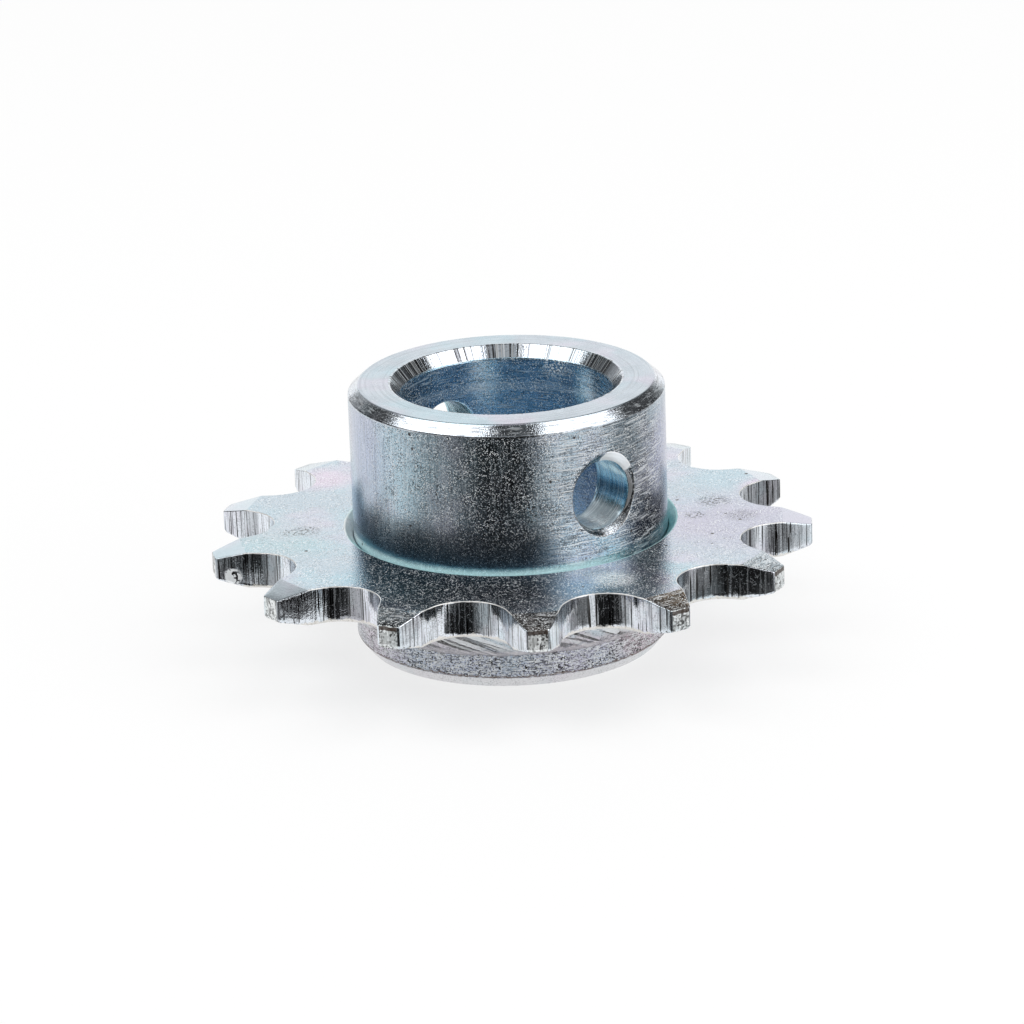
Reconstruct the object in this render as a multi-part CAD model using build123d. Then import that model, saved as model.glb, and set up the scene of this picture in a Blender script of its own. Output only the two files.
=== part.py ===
from build123d import *
import math
import os

# Chain sprocket: a turned tubular hub set through a thin toothed plate and held to it by a fillet
# weld all round the underside. Millimetres, +Z up along the bore. The origin is the centre of the
# hub's lower end, and the cross-hole runs along Y.

# Chain that the teeth take: 1/2 inch pitch, 7.75 mm rollers
chain_pitch = 12.7
roller_diameter = 7.75
tooth_count = 13

# Toothed plate
plate_thickness = 3.5
tip_height = 2.17             # tooth tips beyond the pitch circle
seat_opening = 129            # degrees; the roller seat's arc is this less 90 / tooth_count
tip_bevel_width = 2.8         # radial width of the bevel on both faces of each tooth
tip_bevel_depth = 0.7         # what the bevel takes off each face at the tip
plate_hole_clearance = 0.05   # radial gap between the hub and the plate's hole
plate_hole_bevel = 0.75       # broken edge of the hole, on the upper face

# Hub
hub_diameter = 30.0
bore_diameter = 20.0
hub_above_plate = 14.1
hub_below_plate = 8.1
rim_bevel_width = 1.05        # outer edge of the upper end face
rim_bevel_height = 0.9
foot_bevel_width = 0.95       # outer edge of the lower end face
foot_bevel_height = 1.2
mouth_bevel_width = 1.0       # both mouths of the bore
mouth_bevel_height = 1.2

# Cross-hole for a pin or a bolt, through both walls of the hub
cross_hole_diameter = 6.5
cross_hole_rim_diameter = 8.1   # countersink, measured where it is widest
cross_hole_height = 6.1         # from the plate's upper face to the hole's axis
tooth_turn = -4.3               # from the cross-hole's -Y mouth round to the nearest tooth, degrees

# Fillet weld
weld_leg_on_hub = 4.9
weld_leg_on_plate = 4.0
weld_crown = 0.45             # how far the bead's face swells past the straight line between toes

# Worked out from the above
hub_radius = hub_diameter / 2
bore_radius = bore_diameter / 2
plate_bottom = hub_below_plate
plate_top = plate_bottom + plate_thickness
hub_length = plate_top + hub_above_plate
pitch_radius = chain_pitch / 2 / math.sin(math.pi / tooth_count)
root_radius = pitch_radius - roller_diameter / 2
tip_radius = pitch_radius + tip_height
plate_hole_radius = hub_radius + plate_hole_clearance


def gap_face():
    """One tooth gap, centred on +X and open outwards: roller seat, two convex flanks, outer arc."""
    # Standard roller-chain gap, its seat's arc between the smallest form's and the largest form's
    seat_radius = 0.505 * roller_diameter + 0.069 * roller_diameter ** (1 / 3)
    seat_angle = math.radians(seat_opening - 90 / tooth_count)
    flank_radius = 0.008 * roller_diameter * (tooth_count ** 2 + 180)
    open_radius = 1.06 * tip_radius

    seat_x = root_radius + seat_radius
    turn = math.pi - seat_angle / 2
    reach = seat_radius + flank_radius
    flank_x = seat_x + reach * math.cos(turn)
    flank_y = reach * math.sin(turn)

    # Angle at the flank's centre from the seat's end round to the outer arc
    centre_distance = math.hypot(flank_x, flank_y)
    cosine = (centre_distance ** 2 + flank_radius ** 2 - open_radius ** 2) / (
        2 * centre_distance * flank_radius
    )
    inward = math.atan2(-flank_y, -flank_x)
    end_angle = inward + math.acos(cosine)
    start_angle = turn - math.pi
    sweep = math.degrees(end_angle - start_angle)

    seat = CenterArc((seat_x, 0), seat_radius, math.degrees(turn), math.degrees(seat_angle))
    upper = CenterArc((flank_x, flank_y), flank_radius, math.degrees(start_angle), sweep)
    lower = CenterArc((flank_x, -flank_y), flank_radius, -math.degrees(start_angle), -sweep)
    outer = ThreePointArc(upper @ 1, (open_radius, 0), lower @ 1)
    return make_face([seat, upper, lower, outer])


def make_toothed_plate():
    """Toothed disc with bevelled tooth tips and a hole that takes the hub."""
    gap_turn = -90 + tooth_turn + 180 / tooth_count
    outline = Circle(tip_radius) - PolarLocations(0, tooth_count, gap_turn) * gap_face()
    teeth = extrude(outline, plate_thickness)

    # Lens-edged disc that the teeth are trimmed to, drawn past the tips
    overrun = 1.0
    edge_radius = tip_radius + overrun
    edge_depth = tip_bevel_depth * (1 + overrun / tip_bevel_width)
    bevel_start = tip_radius - tip_bevel_width
    section = Polyline(
        (0, 0),
        (bevel_start, 0),
        (edge_radius, edge_depth),
        (edge_radius, plate_thickness - edge_depth),
        (bevel_start, plate_thickness),
        (0, plate_thickness),
        close=True,
    )
    trimmed = teeth & revolve(make_face(Plane.XZ * section), Axis.Z)

    hole = Cylinder(plate_hole_radius, plate_thickness, align=(Align.CENTER, Align.CENTER, Align.MIN))
    bevel = Cone(
        plate_hole_radius,
        plate_hole_radius + plate_hole_bevel,
        plate_hole_bevel,
        align=(Align.CENTER, Align.CENTER, Align.MAX),
    )
    plate = trimmed - hole - Pos(0, 0, plate_thickness) * bevel
    return Pos(0, 0, plate_bottom) * plate


def make_hub():
    """Turned tube with bevelled ends, drilled across and countersunk at both mouths."""
    section = Polyline(
        (bore_radius + mouth_bevel_width, 0),
        (hub_radius - foot_bevel_width, 0),
        (hub_radius, foot_bevel_height),
        (hub_radius, hub_length - rim_bevel_height),
        (hub_radius - rim_bevel_width, hub_length),
        (bore_radius + mouth_bevel_width, hub_length),
        (bore_radius, hub_length - mouth_bevel_height),
        (bore_radius, mouth_bevel_height),
        close=True,
    )
    tube = revolve(make_face(Plane.XZ * section), Axis.Z)

    # The countersinks are 90 degree cones whose wide ends meet the hub's surface at their crowns
    countersink_depth = (cross_hole_rim_diameter - cross_hole_diameter) / 2
    drill = Cylinder(cross_hole_diameter / 2, 2 * hub_diameter)
    countersink = Pos(0, 0, hub_radius) * Cone(
        cross_hole_diameter / 2,
        cross_hole_rim_diameter / 2,
        countersink_depth,
        align=(Align.CENTER, Align.CENTER, Align.MAX),
    )
    axis_height = plate_top + cross_hole_height
    near_mouth = Pos(0, 0, axis_height) * Rot(90, 0, 0)
    far_mouth = Pos(0, 0, axis_height) * Rot(-90, 0, 0)
    return tube - near_mouth * drill - near_mouth * countersink - far_mouth * countersink


def make_weld_bead():
    """Fillet bead round the hub, in the corner under the plate, with a slightly swollen face."""
    hub_toe = Vector(hub_radius, 0, plate_bottom - weld_leg_on_hub)
    plate_toe = Vector(hub_radius + weld_leg_on_plate, 0, plate_bottom)
    corner = Vector(hub_radius, 0, plate_bottom)
    outward = Vector(weld_leg_on_hub, 0, -weld_leg_on_plate).normalized()
    crown = (hub_toe + plate_toe) / 2 + outward * weld_crown
    face = ThreePointArc(plate_toe, crown, hub_toe)
    section = make_face([Line(hub_toe, corner), Line(corner, plate_toe), face])
    return revolve(section, Axis.Z)


makers = {
    "hub": make_hub,
    "toothed_plate": make_toothed_plate,
    "weld_bead": make_weld_bead,
}

os.makedirs("parts", exist_ok=True)
for name, maker in makers.items():
    solid = maker()
    solid.label = name
    export_step(solid, f"parts/{name}.step")
    print(f"{name}: {solid.volume:.0f} mm3")
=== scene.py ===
import math

import bmesh
import bpy
import numpy as np
from mathutils import Matrix, Vector, noise


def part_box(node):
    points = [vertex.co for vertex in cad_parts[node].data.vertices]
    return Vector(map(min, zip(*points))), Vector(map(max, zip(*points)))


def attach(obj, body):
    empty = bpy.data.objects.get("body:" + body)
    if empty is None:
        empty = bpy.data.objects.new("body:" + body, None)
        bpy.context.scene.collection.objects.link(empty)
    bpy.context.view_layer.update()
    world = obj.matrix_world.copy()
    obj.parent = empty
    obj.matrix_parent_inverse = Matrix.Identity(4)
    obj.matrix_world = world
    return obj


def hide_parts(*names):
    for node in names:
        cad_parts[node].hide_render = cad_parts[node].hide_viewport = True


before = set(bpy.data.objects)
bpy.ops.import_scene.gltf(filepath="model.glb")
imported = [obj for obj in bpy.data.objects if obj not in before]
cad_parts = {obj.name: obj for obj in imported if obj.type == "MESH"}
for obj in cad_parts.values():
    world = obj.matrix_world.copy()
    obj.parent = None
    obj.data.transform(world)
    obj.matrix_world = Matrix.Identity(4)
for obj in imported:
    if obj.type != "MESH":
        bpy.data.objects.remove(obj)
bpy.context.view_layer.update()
mm = 0.001


def polar(radius, angle, height):
    return (radius * math.cos(angle), radius * math.sin(angle), height)


def wobble(x, y=0.0, z=0.0, seed=0.0):
    # smooth noise, about -1 to 1
    return noise.noise(Vector((x + 17.3 * seed, y - 5.1 * seed, z + 2.7 * seed)))


def smoothStep(low, high, x):
    t = min(1.0, max(0.0, (x - low) / (high - low)))
    return t * t * (3 - 2 * t)


def gridFaces(rowCount, columnCount):
    # quads of a grid that closes on itself both ways
    i = np.arange(rowCount)[:, None]
    j = np.arange(columnCount)[None, :]
    below, above = i * columnCount, (i + 1) % rowCount * columnCount
    left, right = j, (j + 1) % columnCount
    corners = [below + left, below + right, above + right, above + left]
    return np.stack(corners, axis=-1).reshape(-1, 4)


def newMesh(name, points, faces, slots=None):
    # points in mm, slots as one material number per face; faces turn to the outside
    mesh = bpy.data.meshes.new(name)
    mesh.from_pydata((np.asarray(points, float) * mm).tolist(), [], faces)
    if slots is not None:
        mesh.polygons.foreach_set("material_index", slots)
    bm = bmesh.new()
    bm.from_mesh(mesh)
    bmesh.ops.recalc_face_normals(bm, faces=bm.faces)
    bm.to_mesh(mesh)
    bm.free()
    mesh.polygons.foreach_set("use_smooth", [True] * len(mesh.polygons))
    mesh.update()
    piece = bpy.data.objects.new(name, mesh)
    bpy.context.scene.collection.objects.link(piece)
    return piece


def roundedCorner(before, corner, after, radius, steps=3):
    # short arc in place of a corner of a section, with a guard row on each side
    guard = 1.8
    a, c, b = (np.array(v, float) for v in (before, corner, after))
    toA, toB = (a - c) / np.linalg.norm(a - c), (b - c) / np.linalg.norm(b - c)
    start, end = c + toA * radius, c + toB * radius
    arc = [c + toA * radius * guard]
    for k in range(steps + 1):
        t = k / steps
        arc.append((1 - t) ** 2 * start + 2 * t * (1 - t) * c + t * t * end)
    return arc + [c + toB * radius * guard]


camera = dict(
    lens=172.9,          # on the 36 mm sensor
    sensor=36,
    distance=464.4,      # from the middle of the hub's upper end
    azimuth=-36.2,       # round from -Y, where the cross-hole opens
    elevation=17.57,
    roll=-1.92,          # the sprocket leans a little to the left
    aimSide=0.58,        # what the camera looks at, beside and below that middle
    aimDrop=12.63,
    clip=(0.01, 20),     # m
)


def addCamera(c):
    lo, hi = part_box("hub")
    top = Vector((0, 0, hi.z))
    a, e, r = (math.radians(c[k]) for k in ("azimuth", "elevation", "roll"))
    back = Vector((math.sin(a) * math.cos(e), -math.cos(a) * math.cos(e), math.sin(e)))
    right = Vector((math.cos(a), math.sin(a), 0))
    up = back.cross(right)
    leanRight = math.cos(r) * right + math.sin(r) * up
    leanUp = math.cos(r) * up - math.sin(r) * right
    place = top + back * c["distance"] * mm
    aim = top + leanRight * c["aimSide"] * mm - leanUp * c["aimDrop"] * mm
    look = (place - aim).normalized()
    side = leanUp.cross(look).normalized()
    data = bpy.data.cameras.new("camera")
    data.lens = c["lens"]
    data.sensor_width = c["sensor"]
    data.clip_start, data.clip_end = c["clip"]
    cam = bpy.data.objects.new("camera", data)
    turn = Matrix((side, look.cross(side), look)).transposed()
    cam.matrix_world = Matrix.Translation(place) @ turn.to_4x4()
    bpy.context.scene.collection.objects.link(cam)
    bpy.context.scene.camera = cam


addCamera(camera)
print("camera set")

hub = dict(
    columns=288,               # round the axis
    boreRadius=10.0,
    rimBevel=(1.05, 0.90),     # radial, axial
    footBevel=(0.95, 1.20),
    mouthBevel=(1.0, 1.2),
    edgeRound=0.08,
    bevelSteps=6,
    ringSteps=14,
    crossHoleHeight=17.7,
    crossHoleRadius=3.25,
    crossHoleRim=4.05,
    rimShift=(0.12, 0.22),     # the countersink sits a little to one side of the hole and above it
    countersinkSteps=(0.05, 0.12, 0.5, 0.93),
    windowColumns=21,          # half width and half height of the patch round each mouth
    windowHeight=5.1,
    windowRows=24,
    mouthRings=9,
    mouthGap=0.05,             # between the hole's edge and the first ring round it
    drilledRings=12,
    drilledWave=0.02,          # depth of the drill's marks
    plateBottom=8.1,           # the wall below this is the boss under the plate
)
hubSlots = dict(wall=0, ring=1, bevel=2, bore=3, drilled=4, boss=5, foot=6, mouth=7, rim=8)


def hubSection(h):
    # rows (radius, height, band that follows) and the rows where the two windows start
    lo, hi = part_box("hub")
    top, outer, bore = hi.z / mm, hi.x / mm, h["boreRadius"]
    rimR, rimZ = h["rimBevel"]
    footR, footZ = h["footBevel"]
    mouthR, mouthZ = h["mouthBevel"]
    zLow = h["crossHoleHeight"] - h["windowHeight"]
    zHigh = h["crossHoleHeight"] + h["windowHeight"]
    window = np.linspace(zLow, zHigh, h["windowRows"] + 1)
    bevelSteps, ringSteps = h["bevelSteps"], h["ringSteps"]
    corners = [
        ((outer, footZ), "boss", np.linspace(footZ, h["plateBottom"], 12)[1:-1]),
        ((outer, h["plateBottom"]), "wall", None),
        ((outer, top - rimZ), "rim", bevelSteps),
        ((outer - rimR, top), "ring", ringSteps),
        ((bore + mouthR, top), "bevel", bevelSteps),
        ((bore, top - mouthZ), "bore", None),
        ((bore, mouthZ), "bevel", bevelSteps),
        ((bore + mouthR, 0), "ring", ringSteps),
        ((outer - footR, 0), "foot", bevelSteps),
    ]
    rows, starts = [], {}
    for k, (corner, band, inner) in enumerate(corners):
        before, after = corners[k - 1][0], corners[(k + 1) % len(corners)][0]
        if corner[1] == h["plateBottom"]:
            rows.append((*corner, band))
        else:
            arc = roundedCorner(before, corner, after, h["edgeRound"])
            rows += [(p[0], p[1], band) for p in arc]
        guard = 2 * h["edgeRound"]
        if band == "wall":
            below = np.linspace(rows[-1][1], zLow, 10)[1:-1]
            above = np.linspace(zHigh, after[1] - guard, 5)[1:-1]
            heights = [below, window, above]
        elif band == "bore":
            above = np.linspace(rows[-1][1], zHigh, 4)[1:-1]
            below = np.linspace(zLow, after[1] + guard, 14)[1:-1]
            heights = [above, window[::-1], below]
        if inner is None:
            starts[band] = len(rows) + len(heights[0])
            rows += [(corner[0], z, band) for z in np.concatenate(heights)]
        elif band == "boss":
            rows += [(corner[0], z, band) for z in inner if z > rows[-1][1] + 0.1]
        else:
            last = np.array(rows[-1][:2])
            reach = np.array(after) - np.array(corner)
            end = np.array(after) - reach / np.linalg.norm(reach) * guard
            for t in np.linspace(0, 1, inner + 1)[1:-1]:
                rows.append((*(last + (end - last) * t), band))
    return rows, starts


def makeHub(h):
    rows, starts = hubSection(h)
    count, w, n = h["columns"], h["windowColumns"], h["windowRows"]
    angles = [-math.pi / 2 + 2 * math.pi * k / count for k in range(count)]
    points = [polar(r, a, z) for r, z, band in rows for a in angles]
    outer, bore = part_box("hub")[1].x / mm, h["boreRadius"]
    zc, hole, rim, gap = h["crossHoleHeight"], h["crossHoleRadius"], h["crossHoleRim"], h["mouthGap"]
    shiftX, shiftZ = h["rimShift"]
    mouths = (0, count // 2)

    grid = gridFaces(len(rows), count)
    bands = np.repeat([hubSlots[band] for r, z, band in rows], count)
    rowOf, columnOf = np.divmod(np.arange(len(grid)), count)
    keep = np.ones(len(grid), bool)
    for start in starts.values():
        for m in mouths:
            inside = (rowOf >= start) & (rowOf < start + n) & ((columnOf - m + w) % count < 2 * w)
            keep &= ~inside
    faces, slots = grid[keep].tolist(), bands[keep].tolist()

    # places (row, column) once round a window's edge, from its first corner
    edge = [(0, c) for c in range(-w, w)] + [(r, w) for r in range(n)]
    edge += [(n, c) for c in range(w, -w, -1)] + [(r, -w) for r in range(n, 0, -1)]

    def windowLoop(start, middle, radius):
        # points of the mesh round the window, and where they lie on the unrolled wall
        loop = [(start + r) * count + (middle + c) % count for r, c in edge]
        flat = [(c * 2 * math.pi / count * radius, rows[start + r][1] - zc) for r, c in edge]
        return loop, flat

    def rimRadius(p):
        # how far the countersink's edge lies from the hole's axis where the round wall falls away
        rad = rim
        for _ in range(30):
            rad = rim - (outer - math.sqrt(outer ** 2 - (rad * math.cos(p)) ** 2))
        return rad

    def rimPlace(p, past=0.0):
        rad = rimRadius(p) + past
        return rad * math.cos(p) + shiftX, rad * math.sin(p) + shiftZ

    def onWall(s, z, radius):
        return (radius * math.sin(s / radius), -radius * math.cos(s / radius), z)

    for side, middle in ((1, mouths[0]), (-1, mouths[1])):
        wallLoop, wallFlat = windowLoop(starts["wall"], middle, outer)
        boreLoop, boreFlat = windowLoop(starts["bore"], middle, bore)
        turns = [math.atan2(z, s) for s, z in wallFlat]
        loops, tags = [wallLoop], []

        def addRing(places, tag):
            loops.append(list(range(len(points), len(points) + len(places))))
            points.extend((side * x, side * y, zc + z) for x, y, z in places)
            tags.append(hubSlots[tag])

        for k in range(1, h["mouthRings"] + 1):
            t = (k / h["mouthRings"]) ** 0.75
            ring = []
            for (s, z), p in zip(wallFlat, turns):
                rimX, rimZ = rimPlace(p, gap)
                rimS = outer * math.asin(rimX / outer)
                ring.append(onWall(s + (rimS - s) * t, z + (rimZ - z) * t, outer))
            addRing(ring, "wall")
        for t in h["countersinkSteps"]:
            ring = []
            for p in turns:
                rimX, rimZ = rimPlace(p)
                start = np.array((rimX, -math.sqrt(outer ** 2 - rimX ** 2), rimZ))
                end = np.array((hole * math.cos(p), -(outer - (rim - hole)), hole * math.sin(p)))
                ring.append(start + (end - start) * t)
            addRing(ring, "mouth")
        for k in range(h["drilledRings"] + 1):
            t = 0.02 + 0.965 * k / h["drilledRings"]
            ring = []
            for p in turns:
                rad = hole + h["drilledWave"] * wobble(2 * math.cos(p), 2 * math.sin(p), k * 0.9, 4)
                start, end = outer - (rim - hole), math.sqrt(bore ** 2 - (hole * math.cos(p)) ** 2)
                ring.append((rad * math.cos(p), -(start + (end - start) * t), rad * math.sin(p)))
            addRing(ring, "drilled")
        # the bore's rows run downwards, so its loop is taken the other way round
        firstS = boreFlat[0][0]
        misses = [abs(s - firstS) + abs(z + h["windowHeight"]) for s, z in boreFlat]
        first = misses.index(min(misses))
        matched = [(first - k) % len(edge) for k in range(len(edge))]
        for k in range(h["mouthRings"]):
            t = 0.01 + 0.99 * (k / h["mouthRings"]) ** 1.3
            ring = []
            for q, p in zip(matched, turns):
                s, z = boreFlat[q]
                rad = hole + gap
                holeS, holeZ = bore * math.asin(rad * math.cos(p) / bore), rad * math.sin(p)
                ring.append(onWall(holeS + (s - holeS) * t, holeZ + (z - holeZ) * t, bore))
            addRing(ring, "bore")
        loops.append([boreLoop[q] for q in matched])
        tags.append(hubSlots["bore"])
        for a, b, tag in zip(loops[:-1], loops[1:], tags):
            for k in range(len(edge)):
                nextK = (k + 1) % len(edge)
                faces.append((a[k], a[nextK], b[nextK], b[k]))
                slots.append(tag)
    return newMesh("turnedHub", points, faces, slots)


turnedHub = makeHub(hub)
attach(turnedHub, "root")
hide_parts("hub")
print("hub made:", len(turnedHub.data.polygons), "faces")

plate = dict(
    toothCount=13,
    pitch=12.7,
    rollerDiameter=7.75,
    tipHeight=2.17,
    seatOpening=129,           # degrees; the roller seat's arc is this less 90 / toothCount
    firstGap=-80.45,           # degrees, middle of the gap beside the front tooth
    holeRadius=15.05,
    holeBevel=0.75,
    tipBevelWidth=2.8,
    tipBevelDepth=0.7,
    bevelSoftness=0.08,        # half width of the soft bend where the tips' bevel starts
    seatSteps=28,              # columns along half a gap: seat, flank, tip land
    flankSteps=20,
    landSteps=6,
    wallSteps=10,              # rows: down the walls, out along the upper face
    faceSteps=8,
    tipRound=0.16,
    edgeRound=0.07,
    tearDepth=0.030,           # upright tear marks of the punched walls
    tearPitch=0.55,
    chipHeight=(0.12, 0.50),   # broken edge along the bottom of the walls
    chipDepth=0.16,
)
plateSlots = dict(face=0, tipBevel=1, gapWall=2, tipLand=3, holeEdge=4)


def pitchCircle(p):
    return p["pitch"] / 2 / math.sin(math.pi / p["toothCount"])


def gapOutline(p):
    # half a gap, from its middle to the middle of the tooth: x, y, outward normal, on the tip land or not
    roller = p["rollerDiameter"]
    root, tip = pitchCircle(p) - roller / 2, pitchCircle(p) + p["tipHeight"]
    seatRadius = 0.505 * roller + 0.069 * roller ** (1 / 3)
    seatHalf = math.radians(p["seatOpening"] - 90 / p["toothCount"]) / 2
    flankRadius = 0.008 * roller * (p["toothCount"] ** 2 + 180)
    seatX, reach = root + seatRadius, seatRadius + flankRadius
    flankX, flankY = seatX - reach * math.cos(seatHalf), reach * math.sin(seatHalf)
    # the flank runs from the seat's end until it meets the tip circle
    apart = math.hypot(flankX, flankY)
    cosine = (apart ** 2 + flankRadius ** 2 - tip ** 2) / (2 * apart * flankRadius)
    last = math.atan2(-flankY, -flankX) + math.acos(cosine)
    cornerX, cornerY = flankX + flankRadius * math.cos(last), flankY + flankRadius * math.sin(last)
    cornerTurn = math.atan2(cornerY, cornerX)
    line = []
    for a in np.linspace(0, seatHalf, p["seatSteps"], endpoint=False):
        c, s = math.cos(a), math.sin(a)
        line.append((seatX - seatRadius * c, seatRadius * s, c, -s, 0))
    for a in np.linspace(-seatHalf, last - p["tipRound"] / flankRadius, p["flankSteps"]):
        c, s = math.cos(a), math.sin(a)
        line.append((flankX + flankRadius * c, flankY + flankRadius * s, c, s, 0))
    land = []
    for a in np.linspace(cornerTurn + p["tipRound"] / tip, math.pi / p["toothCount"], p["landSteps"]):
        c, s = math.cos(a), math.sin(a)
        land.append((tip * c, tip * s, c, s, 1))
    start, end, corner = np.array(line[-1]), np.array(land[0]), np.array((cornerX, cornerY))
    for t in (0.25, 0.5, 0.75):
        x, y = (1 - t) ** 2 * start[:2] + 2 * t * (1 - t) * corner + t * t * end[:2]
        side = (1 - t) * start[2:4] + t * end[2:4]
        side /= np.linalg.norm(side)
        line.append((x, y, *side, 0))
    return line + land


def wholeOutline(p):
    # the outline once round the plate, in the same five columns
    half = gapOutline(p)
    onePitch = [(x, -y, nx, -ny, land) for x, y, nx, ny, land in half[:0:-1]] + half[:-1]
    around = []
    for k in range(p["toothCount"]):
        turn = math.radians(p["firstGap"] + 360 / p["toothCount"] * k)
        c, s = math.cos(turn), math.sin(turn)
        around += [(x * c - y * s, x * s + y * c, nx * c - ny * s, nx * s + ny * c, land)
                   for x, y, nx, ny, land in onePitch]
    return np.array(around)


def makePlate(p):
    lo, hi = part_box("toothed_plate")
    bottom, top = lo.z / mm, hi.z / mm
    tip = pitchCircle(p) + p["tipHeight"]
    bevelStart = tip - p["tipBevelWidth"]
    slope, soft, e = p["tipBevelDepth"] / p["tipBevelWidth"], p["bevelSoftness"], p["edgeRound"]
    around = wholeOutline(p)
    x, y, nx, ny, land = around.T
    radius, turn = np.hypot(x, y), np.arctan2(y, x)
    inner = np.minimum(bevelStart - soft, radius - 0.7)

    def bevelDrop(r):
        low = np.clip(r - bevelStart + soft, 0, 2 * soft)
        return slope * (low ** 2 / (4 * soft) + np.clip(r - bevelStart - soft, 0, None))

    def chipNoise(a, b):
        return wobble(a * 0.9, b * 0.9, 3.0) + 0.35 * wobble(a * 4, b * 4, 8.0)

    chipLow, chipHigh = p["chipHeight"]
    chipShare = 0.45 + 0.75 * np.array([chipNoise(a, b) for a, b in zip(x, y)])
    chip = chipLow + (chipHigh - chipLow) * np.clip(chipShare, 0, 1)

    def tears(z):
        # upright marks; everything is cut into the wall, nothing stands proud of it
        f = 1 / p["tearPitch"]
        places = list(zip(x, y, z))
        coarse = np.array([wobble(a * f, b * f, c * 0.12, 1) for a, b, c in places])
        narrow = np.array([wobble(a * f * 2.3, b * f * 2.3, c * 0.25, 2) for a, b, c in places])
        rough = np.array([wobble(a * 1.7, b * 1.7, c * 1.7, 3) for a, b, c in places])
        cut = np.clip(0.55 + 0.6 * (coarse + 0.6 * narrow) + 0.3 * rough, 0, 1.6)
        return p["tearDepth"] * cut * np.where(land > 0, 0.6, 1.0)

    rows, tags = [], []

    def addRow(px, py, pz, tag):
        rows.append(np.stack([px, py, np.broadcast_to(pz, px.shape)], axis=-1))
        tags.append(tag)

    def ringRow(r, z, tag):
        addRow(r * np.cos(turn), r * np.sin(turn), z, tag)

    def outlineRow(inset, z, tag):
        addRow(x - nx * inset, y - ny * inset, z, tag)

    # up the hole, over its broken edge and out along the upper face
    hole, bevel = p["holeRadius"], p["holeBevel"]
    ringRow(hole, bottom + e, "holeEdge")
    ringRow(hole, bottom + 2 * e, "holeEdge")
    for before, corner, after in (
        ((hole, bottom), (hole, top - bevel), (hole + bevel, top)),
        ((hole, top - bevel), (hole + bevel, top), (tip, top)),
    ):
        for r, z in roundedCorner(before, corner, after, e, 2):
            ringRow(r, z, "holeEdge")
    tags[-1] = "face"
    reach = hole + bevel + 1.8 * e
    for t in np.linspace(0, 1, p["faceSteps"])[1:]:
        ringRow(reach + (inner - reach) * t, top, "face")
    for step in (soft, 2 * soft):
        ringRow(inner + step, top - bevelDrop(inner + step), "tipBevel")
    edgeDrop = bevelDrop(radius)
    startX, startY = (inner + 2 * soft) * np.cos(turn), (inner + 2 * soft) * np.sin(turn)
    endX, endY = x - nx * 2 * e, y - ny * 2 * e
    for t in (0.3, 0.65, 1.0):
        px, py = startX + (endX - startX) * t, startY + (endY - startY) * t
        addRow(px, py, top - bevelDrop(np.hypot(px, py)), "tipBevel")
    # over the upper edge, down the wall and round the broken lower edge
    upper, lower = top - edgeDrop, bottom + edgeDrop
    cutTop = tears(upper)
    for inset, drop in ((1.0, 0.0), (0.3, 0.3), (0.0, 1.0)):
        outlineRow(e * inset + cutTop * (1 - 0.7 * inset), upper - e * drop, "gapWall")
    wallTop, wallBottom = upper - 2 * e, lower + chip
    for t in np.linspace(0, 1, p["wallSteps"]):
        z = wallTop + (wallBottom - wallTop) * t
        outlineRow(tears(z), z, "gapWall")
    cutLow = tears(wallBottom)
    deep = p["chipDepth"]
    for inset, up in ((0.06, 0.85), (0.5, 0.48), (0.9, 0.1), (1.0, 0.0)):
        outlineRow(cutLow + deep * inset, lower + chip * up, "gapWall")
    # back in along the lower face
    endX, endY = x - nx * (deep + 0.12), y - ny * (deep + 0.12)
    for t in (1.0, 0.4):
        px, py = startX + (endX - startX) * t, startY + (endY - startY) * t
        addRow(px, py, bottom + bevelDrop(np.hypot(px, py)), "tipBevel")
    for step in (2 * soft, soft):
        ringRow(inner + step, bottom + bevelDrop(inner + step), "tipBevel")
    for t in (1.0, 0.75, 0.5, 0.25):
        ringRow(hole + 2 * e + (inner - hole - 2 * e) * t, bottom, "face")
    ringRow(hole + 2 * e, bottom, "holeEdge")
    ringRow(hole + e, bottom, "holeEdge")

    points = np.concatenate(rows)
    count = len(around)
    slots = np.repeat([plateSlots[t] for t in tags], count)
    isLand = np.tile((land + np.roll(land, -1)) / 2 > 0.6, len(rows))
    beyond = np.tile(radius > bevelStart, len(rows))
    slots = np.where((slots == plateSlots["gapWall"]) & isLand, plateSlots["tipLand"], slots)
    slots = np.where((slots == plateSlots["tipBevel"]) & ~beyond, plateSlots["face"], slots)
    return newMesh("toothedPlate", points, gridFaces(len(rows), count).tolist(), slots.tolist())


toothedPlate = makePlate(plate)
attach(toothedPlate, "root")
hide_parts("toothed_plate")
print("toothed plate made:", len(toothedPlate.data.polygons), "faces")

weld = dict(
    columns=900,
    faceSteps=18,
    hubLeg=4.9,
    plateLeg=4.0,
    crown=0.45,
    ripplePitch=1.15,
    rippleDepth=0.07,
    rippleSweep=2.2,           # how far a ripple trails along the bead from toe to toe
    toeWave=0.28,              # how far both toes wander back from the CAD bead's
)


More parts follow.
